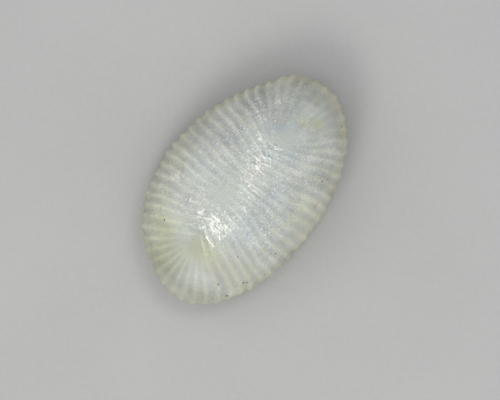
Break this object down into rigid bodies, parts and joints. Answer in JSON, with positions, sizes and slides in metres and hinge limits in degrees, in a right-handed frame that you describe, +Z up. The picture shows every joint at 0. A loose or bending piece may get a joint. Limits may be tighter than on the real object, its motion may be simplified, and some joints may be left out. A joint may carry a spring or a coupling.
{
  "type": "trivirostra hordacea shell",
  "caption": "Small white cowrie-like sea shell: a ribbed oval dome, hollow inside, with a narrow toothed slit between two rolled lips underneath.",
  "frame": {"origin": "on the resting plane, under the middle of the shell's box", "axes": "+Z up through the dome, +Y towards the posterior (spire) end, -Y towards the anterior canal, and the outer lip lies on the -X side"},
  "size_m": [0.0032, 0.005, 0.0026],
  "materials": {
    "shell_enamel": "worn glossy enamel, slightly translucent cream white"
  },
  "bodies": {
    "root": {"shell": "shell_enamel"}
  },
  "joints": []
}
